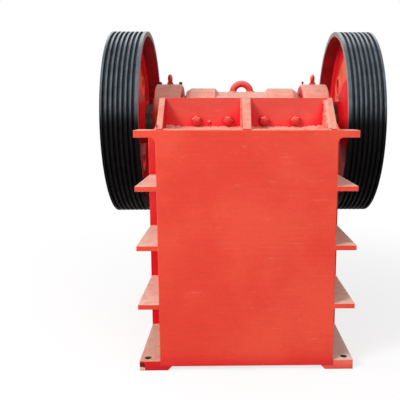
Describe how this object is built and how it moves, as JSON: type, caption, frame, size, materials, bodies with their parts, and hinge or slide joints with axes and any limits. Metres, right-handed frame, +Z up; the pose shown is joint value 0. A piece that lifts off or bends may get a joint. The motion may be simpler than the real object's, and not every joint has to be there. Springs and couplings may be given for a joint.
{
  "type": "jaw crusher",
  "caption": "Welded jaw crusher frame with a leaning swing jaw on an eccentric shaft between two grooved wheels.",
  "frame": {"origin": "on the floor, midway between the wheels and midway between the front plate's face and the wheels' rearmost point", "axes": "+X to the right as seen from the front plate, +Y from the front plate to the back, +Z up"},
  "size_m": [2.192, 2.285, 2.368],
  "materials": {
    "red_paint": "satin enamel, brushed over welds, dusty on its upper faces",
    "wheel_iron": "black, with machined grooves",
    "shaft_steel": "turned steel, dull",
    "manganese_steel": "as cast",
    "dark_steel": "dark mill scale"
  },
  "bodies": {
    "frame": {"front_plate": "red_paint", "front_ledge": "red_paint", "front_wall_ribs": "red_paint", "backing_wall": "red_paint", "centre_gusset": "red_paint", "rear_wall": "red_paint", "rear_wall_ribs": "red_paint", "side_wall_left": "red_paint", "side_wall_right": "red_paint", "top_rib_left": "red_paint", "top_rib_right": "red_paint", "upper_rib_left": "red_paint", "upper_rib_right": "red_paint", "middle_rib_left": "red_paint", "middle_rib_right": "red_paint", "lower_rib_left": "red_paint", "lower_rib_right": "red_paint", "front_uprights_left": "red_paint", "front_uprights_right": "red_paint", "bearing_uprights_left": "red_paint", "bearing_uprights_right": "red_paint", "base_flange_left": "red_paint", "base_flange_right": "red_paint", "bearing_housing_left": "red_paint", "bearing_housing_right": "red_paint", "bearing_cap_left": "red_paint", "bearing_cap_right": "red_paint", "bearing_covers_left": "red_paint", "bearing_covers_right": "red_paint", "cap_eye_bolt_left": "red_paint", "cap_eye_bolt_right": "red_paint", "jaw_plate_nuts": "red_paint", "fixed_jaw_plate": "manganese_steel", "cheek_plate_left": "manganese_steel", "cheek_plate_right": "manganese_steel", "toggle_block": "dark_steel", "toggle_shims": "dark_steel", "toggle_plate": "dark_steel", "tension_rod": "dark_steel", "tension_spring": "dark_steel"},
    "shaft": {"eccentric_shaft": "shaft_steel", "wheel_rim_left": "wheel_iron", "wheel_rim_right": "wheel_iron", "wheel_web_left": "red_paint", "wheel_web_right": "red_paint", "wheel_end_plates": "red_paint"},
    "swing_jaw": {"swing_jaw": "red_paint", "moving_jaw_plate": "manganese_steel", "jaw_wedge": "red_paint", "lifting_ring": "red_paint"}
  },
  "joints": [
    {"name": "shaft_spin", "type": "hinge", "parent": "frame", "child": "shaft", "pos_m": [0, 0.3725, 1.598], "axis": [1, 0, 0], "continuous": true},
    {"name": "jaw_on_eccentric", "type": "hinge", "parent": "shaft", "child": "swing_jaw", "pos_m": [0, 0.3725, 1.579], "axis": [1, 0, 0], "continuous": true}
  ],
  "couplings": [
    {"joint": "jaw_on_eccentric", "follows": "shaft_spin", "ratio": -1}
  ]
}
